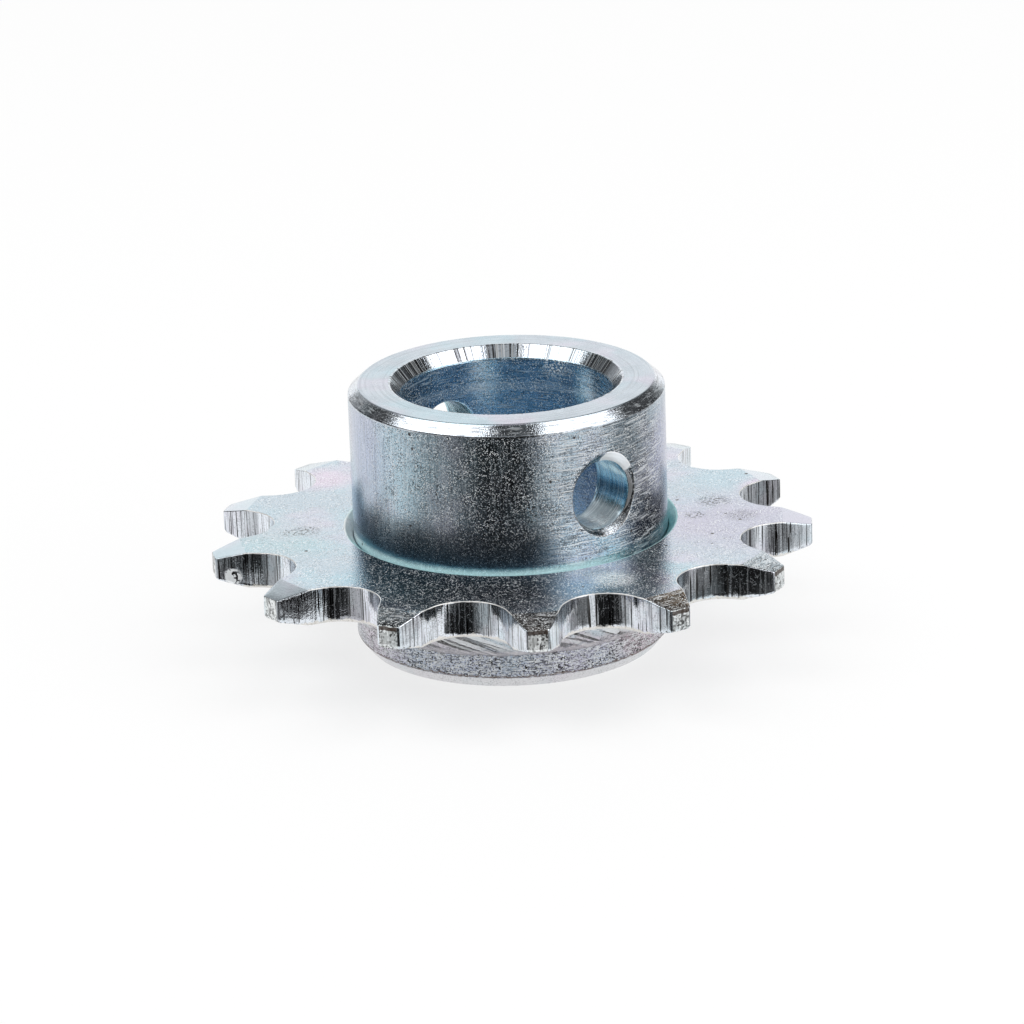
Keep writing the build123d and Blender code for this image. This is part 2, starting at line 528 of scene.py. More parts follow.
def makeWeld(w):
    lo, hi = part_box("weld_bead")
    joint, outer = hi.z / mm, hi.x / mm
    inner = outer - w["plateLeg"]

    def toe(leg, c, s, seed):
        wave = 0.5 + 0.5 * wobble(c * 4, s * 4, seed) + 0.25 * wobble(c * 14, s * 14, seed + 1)
        return leg - w["toeWave"] * wave

    rows = [[] for _ in range(w["faceSteps"] + 1 + 3)]
    for j in range(w["columns"]):
        a = 2 * math.pi * j / w["columns"]
        c, s = math.cos(a), math.sin(a)
        hubToe, plateToe = toe(w["hubLeg"], c, s, 1.0), toe(w["plateLeg"], c, s, 5.0)
        start, end = np.array((inner + plateToe, joint)), np.array((inner, joint - hubToe))
        out = np.array((hubToe, -plateToe)) / math.hypot(hubToe, plateToe)
        for k in range(w["faceSteps"] + 1):
            t = k / w["faceSteps"]
            swell = w["crown"] * 4 * t * (1 - t)
            trail = w["rippleSweep"] * (t - 0.3) ** 2 + 0.5 * wobble(c * 9, s * 9, t * 1.5)
            beat = ((a * (inner + 2) + trail) / w["ripplePitch"]) % 1.0
            crest = (1 - beat) ** 1.5
            towardsToes = min(1, 8 * t * (1 - t))
            dip = w["rippleDepth"] * towardsToes * (1 - crest + 0.4 * wobble(c * 30, s * 30, t * 3))
            r, z = start * (1 - t) + end * t + out * (swell - dip)
            rows[k].append(polar(r, a, z))
        # the hidden corner behind the face
        rows[-3].append(polar(inner, a, joint - hubToe * 0.5))
        rows[-2].append(polar(inner, a, joint))
        rows[-1].append(polar((inner + start[0]) / 2, a, joint))
    points = [place for row in rows for place in row]
    faces = gridFaces(len(rows), w["columns"]).tolist()
    return newMesh("weldBead", points, faces, [0] * len(faces))


weldBead = makeWeld(weld)
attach(weldBead, "root")
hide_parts("weld_bead")
print("weld bead made:", len(weldBead.data.polygons), "faces")


def connect(tree, node, inputs):
    # an input is a value or another node's socket
    for key, value in inputs.items():
        if isinstance(value, bpy.types.NodeSocket):
            tree.links.new(value, node.inputs[key])
        else:
            node.inputs[key].default_value = value


def addNode(tree, kind, inputs=None, **options):
    n = tree.nodes.new(kind)
    for key, value in options.items():
        setattr(n, key, value)
    connect(tree, n, inputs or {})
    return n


def calc(tree, operation, a, b=0.0, clamp=False):
    return addNode(tree, "ShaderNodeMath", {0: a, 1: b}, operation=operation, use_clamp=clamp).outputs[0]


def times(tree, first, *others):
    for other in others:
        first = calc(tree, "MULTIPLY", first, other)
    return first


def larger(tree, a, b):
    return calc(tree, "MAXIMUM", a, b)


def minus(tree, a, b, clamp=False):
    return calc(tree, "SUBTRACT", a, b, clamp)


def vectorCalc(tree, operation, a, b=None, scale=None):
    inputs = {0: a}
    if b is not None:
        inputs[1] = b
    if scale is not None:
        inputs["Scale"] = scale
    outputs = addNode(tree, "ShaderNodeVectorMath", inputs, operation=operation).outputs
    return outputs["Value"] if operation in ("LENGTH", "DISTANCE", "DOT_PRODUCT") else outputs["Vector"]


def separate(tree, vector):
    return addNode(tree, "ShaderNodeSeparateXYZ", {0: vector}).outputs


def combine(tree, x, y, z=0.0):
    return addNode(tree, "ShaderNodeCombineXYZ", {0: x, 1: y, 2: z}).outputs[0]


def remap(tree, value, low, high, outLow=0.0, outHigh=1.0):
    sizes = {"Value": value, "From Min": low, "From Max": high, "To Min": outLow, "To Max": outHigh}
    return addNode(tree, "ShaderNodeMapRange", sizes, interpolation_type="SMOOTHSTEP").outputs["Result"]


def cloudNoise(tree, place, scale=1.0, detail=1.0, roughness=0.5):
    sizes = {"Vector": place, "Scale": scale, "Detail": detail, "Roughness": roughness}
    return addNode(tree, "ShaderNodeTexNoise", sizes).outputs[0]


def smallCells(tree, place, scale):
    # two random numbers for each small cell of space, and how far a point is from its cell's middle
    cells = addNode(tree, "ShaderNodeTexVoronoi", {"Vector": place, "Scale": scale, "Randomness": 1.0})
    split = addNode(tree, "ShaderNodeSeparateColor", {0: cells.outputs["Color"]}).outputs
    return split[0], split[1], cells.outputs["Distance"]


def blendColor(tree, factor, a, b):
    n = addNode(tree, "ShaderNodeMix", data_type="RGBA")
    connect(tree, n, {0: factor, 6: a, 7: b})
    return n.outputs[2]


def newGroup(name, inputs, outputs):
    # inputs are (name, kind, value), outputs are (name, kind)
    group = bpy.data.node_groups.new(name, "ShaderNodeTree")
    for label, kind, value in inputs:
        socket = group.interface.new_socket(label, in_out="INPUT", socket_type="NodeSocket" + kind)
        if value is not None:
            socket.default_value = value
    for label, kind in outputs:
        group.interface.new_socket(label, in_out="OUTPUT", socket_type="NodeSocket" + kind)
    source = group.nodes.new("NodeGroupInput")
    sink = group.nodes.new("NodeGroupOutput")
    return group, source.outputs, sink.inputs


def useGroup(tree, group, inputs):
    # a shared effect placed in a material with its own values
    n = addNode(tree, "ShaderNodeGroup", node_tree=group)
    connect(tree, n, inputs)
    return n.outputs


def makePartPlace():
    # where a point of the sprocket lies, in mm: round the bore's axis and up it
    outputs = [("Place", "Vector"), ("Radius", "Float"), ("Height", "Float"), ("Depth", "Float"),
               ("Turn", "Vector")]
    group, given, result = newGroup("partPlace", [], outputs)
    spot = addNode(group, "ShaderNodeTexCoord").outputs["Object"]
    place = vectorCalc(group, "SCALE", spot, scale=1 / mm)
    x, y, z = separate(group, place)
    flat = combine(group, x, y)
    turn = vectorCalc(group, "NORMALIZE", flat)
    sockets = (place, vectorCalc(group, "LENGTH", flat), z, y, turn)
    for (label, kind), socket in zip(outputs, sockets):
        group.links.new(socket, result[label])
    return group


def makeToolLines():
    # fine lines: noise that is squeezed across the lines and drawn out along them, gathered into clumps
    group, given, result = newGroup(
        "toolLines",
        [("Across", "Float", 0.0), ("Along", "Vector", None), ("Pitch", "Float", 0.2),
         ("Length", "Float", 6.0), ("Gather", "Float", 0.5)],
        [("Height", "Float"), ("Dark", "Float"), ("Bright", "Float")],
    )
    clumps, darkDashes, brightDashes = (0.38, 0.60), (0.34, 0.26), (0.74, 0.82)   # soft limits on the noise
    across = calc(group, "DIVIDE", given["Across"], given["Pitch"])
    along = vectorCalc(group, "SCALE", given["Along"], scale=calc(group, "DIVIDE", 1.0, given["Length"]))
    x, y, z = separate(group, along)
    place = combine(group, x, y, across)
    fine = cloudNoise(group, place)
    first, second, middle = smallCells(group, place, 1.0)
    clumpPlace = vectorCalc(group, "MULTIPLY", place, (0.9, 0.9, 0.21))
    gathered = remap(group, cloudNoise(group, clumpPlace), *clumps)
    even = minus(group, 1.0, given["Gather"])
    faded = calc(group, "ADD", times(group, gathered, given["Gather"]), even)
    group.links.new(times(group, minus(group, fine, 0.5), faded), result["Height"])
    group.links.new(times(group, remap(group, first, *darkDashes), faded), result["Dark"])
    group.links.new(times(group, remap(group, second, *brightDashes), faded), result["Bright"])
    return group


def makePlatedGrain():
    # plated skin: fine grain as height, its hollows and crests as masks, and scattered pits
    group, given, result = newGroup(
        "platedGrain",
        [("Place", "Vector", None), ("Size", "Float", 0.25), ("Dark Share", "Float", 0.2),
         ("Bright Share", "Float", 0.1), ("Pit Spacing", "Float", 1.2), ("Pits", "Float", 0.1)],
        [("Height", "Float"), ("Hollows", "Float"), ("Crests", "Float"), ("Pits", "Float"),
         ("Clouds", "Float")],
    )
    darkEdge, brightEdge, pitEdge = 0.06, 0.04, (0.26, 0.10)
    scale = calc(group, "DIVIDE", 1.0, given["Size"])
    grain = cloudNoise(group, given["Place"], scale, 0.0)
    first, second, middle = smallCells(group, given["Place"], scale)
    group.links.new(minus(group, grain, 0.5), result["Height"])
    gathered = remap(group, cloudNoise(group, given["Place"], 0.8, 2.0, 0.6), 0.40, 0.60, 0.6, 1.0)
    hollow = remap(group, minus(group, given["Dark Share"], first), -darkEdge, darkEdge)
    crest = remap(group, minus(group, given["Bright Share"], second), -brightEdge, brightEdge)
    group.links.new(times(group, hollow, gathered), result["Hollows"])
    group.links.new(times(group, crest, gathered), result["Crests"])
    pitScale = calc(group, "DIVIDE", 1.0, given["Pit Spacing"])
    number, other, middle = smallCells(group, given["Place"], pitScale)
    chosen = calc(group, "LESS_THAN", number, given["Pits"])
    group.links.new(times(group, remap(group, middle, *pitEdge), chosen), result["Pits"])
    group.links.new(cloudNoise(group, given["Place"], 0.35, 3.0), result["Clouds"])
    return group


def makeFilmTone():
    # zinc with a thin passive film: the colour drifts between a cool and a warm tint in soft patches
    group, given, result = newGroup(
        "filmTone",
        [("Place", "Vector", None), ("Base", "Color", None), ("Cool", "Color", None),
         ("Warm", "Color", None), ("Patch", "Float", 9.0), ("Amount", "Float", 0.5)],
        [("Color", "Color")],
    )
    scale = calc(group, "DIVIDE", 1.0, given["Patch"])
    elsewhere = vectorCalc(group, "ADD", given["Place"], (31.0, 17.0, 5.0))
    first = cloudNoise(group, given["Place"], scale, 3.0, 0.55)
    second = cloudNoise(group, elsewhere, scale, 3.0, 0.55)
    cool = times(group, remap(group, first, 0.46, 0.66), given["Amount"])
    warm = times(group, remap(group, second, 0.48, 0.68), given["Amount"])
    color = blendColor(group, cool, given["Base"], given["Cool"])
    group.links.new(blendColor(group, warm, color, given["Warm"]), result["Color"])
    return group


def makeSideMask():
    # 1 on the side of the sprocket that faces one way
    group, given, result = newGroup(
        "sideMask",
        [("Turn", "Vector", None), ("Facing", "Vector", None), ("From", "Float", 0.5),
         ("To", "Float", 0.8)],
        [("Mask", "Float")],
    )
    along = vectorCalc(group, "DOT_PRODUCT", given["Turn"], given["Facing"])
    group.links.new(remap(group, along, given["From"], given["To"]), result["Mask"])
    return group


def makeSpotMask():
    # 1 at one spot, fading out at a distance, with a ragged edge
    group, given, result = newGroup(
        "spotMask",
        [("Place", "Vector", None), ("Spot", "Vector", None), ("Reach", "Float", 3.0),
         ("Ragged", "Float", 0.3)],
        [("Mask", "Float")],
    )
    gap = vectorCalc(group, "DISTANCE", given["Place"], given["Spot"])
    shift = times(group, minus(group, cloudNoise(group, given["Place"], 0.9, 2.0), 0.5), given["Ragged"])
    share = calc(group, "ADD", calc(group, "DIVIDE", gap, given["Reach"]), shift)
    group.links.new(remap(group, share, 1.0, 0.2), result["Mask"])
    return group


def makeScuffs():
    # small marks crowded round one spot
    group, given, result = newGroup(
        "scuffs",
        [("Place", "Vector", None), ("Spot", "Vector", None), ("Reach", "Float", 1.0),
         ("Size", "Float", 0.3)],
        [("Mask", "Float")],
    )
    gap = vectorCalc(group, "DISTANCE", given["Place"], given["Spot"])
    near = remap(group, calc(group, "DIVIDE", gap, given["Reach"]), 1.0, 0.4)
    marks = cloudNoise(group, given["Place"], calc(group, "DIVIDE", 1.0, given["Size"]), 1.0, 0.6)
    group.links.new(times(group, remap(group, marks, 0.54, 0.58), near), result["Mask"])
    return group


def makeHeightBand():
    # 1 in a ragged band at one height; Soft is the share of its half width over which it fades
    group, given, result = newGroup(
        "heightBand",
        [("Place", "Vector", None), ("Height", "Float", 0.0), ("Middle", "Float", 0.0),
         ("Half", "Float", 0.2), ("Ragged", "Float", 0.3), ("Soft", "Float", 0.3)],
        [("Mask", "Float")],
    )
    outside = 1.05
    ragged = cloudNoise(group, given["Place"], 1.6, 2.0, 0.7)
    shift = times(group, minus(group, ragged, 0.5), given["Ragged"])
    off = calc(group, "ADD", minus(group, given["Height"], given["Middle"]), shift)
    share = calc(group, "DIVIDE", calc(group, "ABSOLUTE", off), given["Half"])
    group.links.new(remap(group, share, outside, minus(group, outside, given["Soft"])), result["Mask"])
    return group


partPlace, filmTone = makePartPlace(), makeFilmTone()
platedGrain, toolLines, scuffMarks = makePlatedGrain(), makeToolLines(), makeScuffs()
sideMask, spotMask, heightBand = makeSideMask(), makeSpotMask(), makeHeightBand()
print("finishes made")

finish = dict(                          # where a surface below names no other
    base=(0.50, 0.585, 0.65, 1),        # plated skin, and the two tints that it drifts between
    cool=(0.38, 0.60, 0.68, 1),
    warm=(0.66, 0.56, 0.68, 1),
    dark=(0.020, 0.018, 0.016, 1),      # hollows, scratches and scuffs
    bright=(0.92, 0.95, 0.97, 1),       # worn crests
    pit=(0.07, 0.06, 0.06, 1),
    metal=1.0,
    brightMatt=0.8,                     # how far the worn crests lose their metal shine
)


def around(azimuth, radius, height):
    # a spot of the sprocket: degrees round the bore's axis, then mm
    return Vector(polar(radius, math.radians(azimuth), height))


def linePlace(tree, place, kind, pitch, length):
    # what runs across the lines, and what runs along them
    if kind == "round":                 # along the circumference, stacked up the axis
        return place["Height"], place["Place"]
    if kind == "flat":                  # along the circumference, on an end face or a bevel
        return place["Radius"], place["Place"]
    if kind == "drilled":               # round the cross-hole, stacked along it
        return place["Depth"], place["Place"]
    if kind == "bead":                  # slantwise round the bore's axis
        x, y, z = separate(tree, place["Place"])
        turn = times(tree, calc(tree, "ARCTAN2", y, x), 9.0)
        return calc(tree, "ADD", turn, place["Height"]), place["Place"]
    if kind == "spoke":                 # across the circumference
        drawnOut = vectorCalc(tree, "SCALE", place["Turn"], scale=12.0 * length / pitch)
        return times(tree, place["Radius"], 0.02), drawnOut
    # "upright": up the axis
    stretched = vectorCalc(tree, "SCALE", place["Place"], scale=length / pitch)
    return times(tree, place["Height"], pitch / length), stretched


def sideOf(tree, place, where):
    # part of the way round the sprocket: (azimuth, fades out at, full within), in degrees
    azimuth, out, full = (math.radians(v) for v in where)
    facing = Vector((math.cos(azimuth), math.sin(azimuth), 0))
    sizes = {"Turn": place["Turn"], "Facing": facing, "From": math.cos(out), "To": math.cos(full)}
    return useGroup(tree, sideMask, sizes)["Mask"]


def spotOf(tree, place, spot, reach):
    return useGroup(tree, spotMask, {"Place": place["Place"], "Spot": spot, "Reach": reach})["Mask"]


def platedColor(tree, place, look):
    names = {"Base": "base", "Cool": "cool", "Warm": "warm"}
    sizes = {label: look.get(key, finish[key]) for label, key in names.items()}
    sizes.update({"Place": place["Place"], "Patch": look["patch"], "Amount": look["amount"]})
    color = useGroup(tree, filmTone, sizes)["Color"]
    for t in look.get("tints", []):
        mask = spotOf(tree, place, t["spot"], t["reach"])
        color = blendColor(tree, times(tree, mask, t["strength"]), color, t["color"])
    return color


def surfaceMarks(tree, place, grain, look):
    # masks of the dark and the bright marks, painted shade and highlights among them, and the height of them
    # all
    specks = look["specks"]
    hollow, crest = specks["dark"], specks["bright"]
    # painted shade and painted glints: more dark and bright grains on one side of the sprocket
    if "paintedShadeAndGlints" in look:
        part = sideOf(tree, place, look["paintedShadeAndGlints"]["where"])
        hollow = calc(tree, "ADD", times(tree, part, look["paintedShadeAndGlints"]["dark"]), hollow)
        crest = calc(tree, "ADD", times(tree, part, look["paintedShadeAndGlints"]["bright"]), crest)
    dark = times(tree, grain["Hollows"], hollow)
    bright = times(tree, grain["Crests"], crest)
    height = times(tree, grain["Height"], look["grain"]["depth"])
    for mark in look.get("lines", []):
        across, along = linePlace(tree, place, mark["kind"], mark["pitch"], mark["length"])
        sizes = {"Across": across, "Along": along, "Pitch": mark["pitch"], "Length": mark["length"]}
        sizes["Gather"] = mark["gather"]
        lines = useGroup(tree, toolLines, sizes)
        part = sideOf(tree, place, mark["where"]) if "where" in mark else 1.0
        height = calc(tree, "ADD", height, times(tree, lines["Height"], mark["depth"], part))
        dark = larger(tree, dark, times(tree, lines["Dark"], mark["dark"], part))
        bright = larger(tree, bright, times(tree, lines["Bright"], mark["bright"], part))
    # painted highlights: crisp matt white spots
    for mark in look.get("paintedHighlights", []):
        mask = remap(tree, spotOf(tree, place, mark["spot"], mark["reach"]), 0.35, 0.60)
        bright = larger(tree, bright, mask)
        dark = times(tree, dark, minus(tree, 1.0, mask))
    for mark in look.get("scuffs", []):
        sizes = {"Place": place["Place"], "Spot": mark["spot"], "Reach": mark["reach"],
                 "Size": mark["size"]}
        mask = useGroup(tree, scuffMarks, sizes)["Mask"]
        if "dark" in mark:
            dark = larger(tree, dark, times(tree, mask, mark["dark"]))
            bright = times(tree, bright, minus(tree, 1.0, mask))
        else:
            bright = larger(tree, bright, times(tree, mask, mark["bright"]))
        height = minus(tree, height, times(tree, mask, mark["depth"]))
    return dark, bright, height


def metalMaterial(name, look):
    m = bpy.data.materials.new(name)
    m.use_nodes = True
    tree = m.node_tree
    shader = tree.nodes["Principled BSDF"]
    place = useGroup(tree, partPlace, {})
    pits = look.get("pits", dict(share=0.0, spacing=1.2, depth=0.0))
    specks = look["specks"]
    sizes = {"Place": place["Place"], "Size": look["grain"]["size"], "Dark Share": specks["darkShare"],
             "Bright Share": specks["brightShare"], "Pit Spacing": pits["spacing"], "Pits": pits["share"]}
    grain = useGroup(tree, platedGrain, sizes)
    color = platedColor(tree, place, look)
    dark, bright, height = surfaceMarks(tree, place, grain, look)
    color = blendColor(tree, dark, color, finish["dark"])
    color = blendColor(tree, bright, color, look.get("bright", finish["bright"]))
    metal = look.get("metal", finish["metal"])
    metal = minus(tree, metal, times(tree, bright, finish["brightMatt"]), clamp=True)
    for b in look.get("bands", []):
        sizes = {"Place": place["Place"], "Height": place["Height"], "Middle": b["middle"],
                 "Half": b["half"], "Ragged": b["ragged"], "Soft": b["soft"]}
        mask = times(tree, useGroup(tree, heightBand, sizes)["Mask"], b["strength"])
        if "where" in b:
            mask = times(tree, mask, sideOf(tree, place, b["where"]))
        color = blendColor(tree, mask, color, b["color"])
        metal = minus(tree, metal, times(tree, mask, 1.0 - b["metal"]), clamp=True)
    if pits["share"]:
        color = blendColor(tree, grain["Pits"], color, finish["pit"])
        height = minus(tree, height, times(tree, grain["Pits"], pits["depth"]))
    roughness = remap(tree, grain["Clouds"], 0.35, 0.65, *look["rough"])
    bump = addNode(tree, "ShaderNodeBump", {"Height": height, "Distance": mm, "Strength": 1.0})
    sockets = {"Base Color": color, "Metallic": metal, "Roughness": roughness, "Normal": bump.outputs[0]}
    connect(tree, shader, sockets)
    return m


def dressPiece(piece, looks):
    # one material for each surface, in the order of the piece's material numbers
    for name, look in looks.items():
        piece.data.materials.append(metalMaterial(name, look))
    print(piece.name, "dressed in", len(looks), "finishes")


# in each surface: rough runs from one value to the other in soft clouds, sizes are in mm, specks are the
# share and the strength of the dark and of the bright grains, the side entry adds painted shade and painted
# glints on one side by strengthening them, and where is (azimuth, fades out at, full within) in degrees
hubLooks = dict(
    hubWall=dict(
        base=(0.45, 0.56, 0.65, 1),
        patch=8,
        amount=0.35,
        tints=[
            # blue film tint and painted shade at the hub's foot on the left
            dict(spot=around(156, 15, 14), reach=6, color=(0.28, 0.5, 0.72, 1), strength=0.8),
            # painted shade: near-black spot at the hub's foot on the right front
            dict(spot=around(-66, 15, 13.2), reach=5.8, color=(0.06, 0.1, 0.17, 1), strength=1.0),
            dict(spot=around(170, 15, 21), reach=6, color=(0.46, 0.53, 0.68, 1), strength=0.7),
            # lavender film tint, darker as painted shade, on the hub's right side
            dict(spot=around(-48, 15, 19), reach=7, color=(0.34, 0.37, 0.56, 1), strength=0.9),
        ],
        rough=(0.15, 0.19),
        grain=dict(size=0.064, depth=0.01),
        specks=dict(darkShare=0.26, dark=0.32, brightShare=0.13, bright=0.25),
        # painted shade and painted glints on the front of the hub
        paintedShadeAndGlints=dict(where=(-116, 85, 50), dark=0.68, bright=0.75),
        pits=dict(share=0.05, spacing=0.8, depth=0.03),
        lines=[
            dict(kind="round", pitch=0.075, length=1.4, gather=0.5, depth=0.008, dark=0.7, bright=0.7,
                 where=(-86, 38, 18)),
            dict(kind="upright", pitch=0.12, length=3.0, gather=0.7, depth=0.006, dark=0.25, bright=0.15),
        ],
        bands=[
            # painted shade at the hub's foot on the left front, tinted teal
            dict(middle=11.6, half=3.4, ragged=1.0, soft=1.0, color=(0.09, 0.19, 0.28, 1), strength=0.9,
                 metal=1.0, where=(174, 84, 62)),
            # painted shade: near-black band low on the hub's front, standing in for a dark reflection
            dict(middle=13.9, half=2.7, ragged=1.2, soft=0.9, color=(0.03, 0.03, 0.035, 1), strength=0.6,
                 metal=1.0, where=(-143, 38, 22)),
            # painted highlight: pale teal line along the hub's foot on the front
            dict(middle=11.3, half=0.76, ragged=0.34, soft=0.9, color=(0.78, 0.9, 0.93, 1), strength=1.0,
                 metal=0.3, where=(-151, 74, 50)),
        ],
        scuffs=[
            dict(spot=around(-160.6, 15, 21.2), reach=0.9, size=0.3, dark=0.5, depth=0.05),
            dict(spot=around(-162, 15, 19.3), reach=0.9, size=0.3, dark=0.5, depth=0.05),
            dict(spot=around(-153, 15, 18.6), reach=0.8, size=0.25, dark=0.5, depth=0.05),
            dict(spot=around(-173, 15, 18.4), reach=0.6, size=0.2, dark=0.5, depth=0.04),
            dict(spot=around(-116, 15, 17.6), reach=1.4, size=0.2, dark=0.8, depth=0.04),
        ],
    ),
    hubRing=dict(
        base=(0.48, 0.545, 0.605, 1),
        patch=7,
        amount=0.45,
        rough=(0.2, 0.28),
        grain=dict(size=0.11, depth=0.004),
        specks=dict(darkShare=0.2, dark=0.12, brightShare=0.1, bright=0.2),
        lines=[
            dict(kind="flat", pitch=0.12, length=6.0, gather=0.5, depth=0.003, dark=0.15, bright=0.1),
        ],
    ),
    boreBevel=dict(
        base=(0.56, 0.62, 0.68, 1),
        patch=5,
        amount=0.2,
        rough=(0.06, 0.1),
        grain=dict(size=0.12, depth=0.006),
        specks=dict(darkShare=0.2, dark=0.2, brightShare=0.1, bright=0.2),
        lines=[
            dict(kind="spoke", pitch=0.15, length=0.6, gather=0.5, depth=0.012, dark=1.0, bright=0.6),
        ],
    ),
    hubBore=dict(
        base=(0.45, 0.66, 0.83, 1),
        patch=8,
        amount=0.2,
        tints=[
            dict(spot=around(-2, 10, 12), reach=5, color=(0.6, 0.58, 0.68, 1), strength=0.9),
        ],
        rough=(0.16, 0.22),
        grain=dict(size=0.085, depth=0.008),
        specks=dict(darkShare=0.3, dark=0.6, brightShare=0.14, bright=0.75),
        lines=[
            dict(kind="round", pitch=0.09, length=1.4, gather=0.9, depth=0.008, dark=0.45, bright=0.4),
        ],
        bands=[
            dict(middle=21.8, half=0.55, ragged=0.5, soft=0.6, color=(0.62, 0.72, 0.8, 1), strength=0.5,
                 metal=0.7),
        ],
        scuffs=[
            dict(spot=around(25, 10, 24.3), reach=1.9, size=0.22, bright=1.0, depth=0.03),
        ],
    ),
    drilledWall=dict(
        base=(0.42, 0.66, 0.76, 1),
        patch=4,
        amount=0.2,
        rough=(0.1, 0.14),
        grain=dict(size=0.1, depth=0.008),
        specks=dict(darkShare=0.2, dark=0.3, brightShare=0.1, bright=0.2),
        lines=[
            dict(kind="drilled", pitch=0.1, length=2.5, gather=0.6, depth=0.012, dark=0.35, bright=0.35),
        ],
        bands=[
            # painted highlight: pale lower wall inside the cross-hole's front mouth
            dict(middle=14.5, half=1.5, ragged=0.6, soft=0.5, color=(0.84, 0.88, 0.92, 1), strength=0.6,
                 metal=0.3, where=(-90, 45, 30)),
        ],
        scuffs=[
            dict(spot=Vector((0.3, -12.8, 14.8)), reach=2.4, size=0.16, dark=0.85, depth=0.03),
        ],
    ),
    bossWall=dict(
        base=(0.43, 0.47, 0.56, 1),
        patch=8,
        amount=0.3,
        tints=[
            # pink film tint, lighter as painted light, on the boss's right side
            dict(spot=around(-73, 15, 4), reach=7, color=(0.66, 0.54, 0.58, 1), strength=0.8),
            # pink film tint, lighter as painted light, on the boss's left side
            dict(spot=around(172, 15, 4), reach=6, color=(0.76, 0.66, 0.74, 1), strength=0.8),
        ],
        rough=(0.2, 0.3),
        grain=dict(size=0.1, depth=0.014),
        specks=dict(darkShare=0.4, dark=1.0, brightShare=0.2, bright=0.9),
        lines=[
            dict(kind="round", pitch=0.08, length=0.4, gather=0.4, depth=0.008, dark=0.8, bright=0.7),
        ],
        bands=[
            dict(middle=1.25, half=0.1, ragged=0.7, soft=0.5, color=(0.17, 0.12, 0.1, 1), strength=0.7,
                 metal=0.6),
        ],
    ),
    footBevel=dict(
        base=(0.72, 0.72, 0.74, 1),
        patch=5,
        amount=0.2,
        rough=(0.2, 0.26),
        grain=dict(size=0.12, depth=0.01),
        specks=dict(darkShare=0.2, dark=0.3, brightShare=0.2, bright=0.4),
    ),
    mouthBevel=dict(
        base=(0.46, 0.5, 0.54, 1),
        bright=(1.0, 1.0, 1.0, 1),
        patch=5,
        amount=0.1,
        rough=(0.1, 0.14),
        grain=dict(size=0.08, depth=0.016),
        specks=dict(darkShare=0.55, dark=0.95, brightShare=0.12, bright=0.8),
        lines=[
            dict(kind="drilled", pitch=0.12, length=2.0, gather=0.5, depth=0.02, dark=0.9, bright=0.5),
        ],
        # painted highlight: matt white patch on the countersink's upper side at the front mouth
        paintedHighlights=[
            dict(spot=Vector((1.7, -14.8, 20.9)), reach=3.2),
        ],
    ),
    rimBevel=dict(
        base=(0.56, 0.61, 0.67, 1),
        patch=5,
        amount=0.2,
        rough=(0.05, 0.08),
        grain=dict(size=0.1, depth=0.008),
        specks=dict(darkShare=0.25, dark=0.35, brightShare=0.12, bright=0.45),
        lines=[
            dict(kind="flat", pitch=0.09, length=1.0, gather=0.6, depth=0.01, dark=0.55, bright=0.4),
        ],
    ),
)
dressPiece(turnedHub, hubLooks)

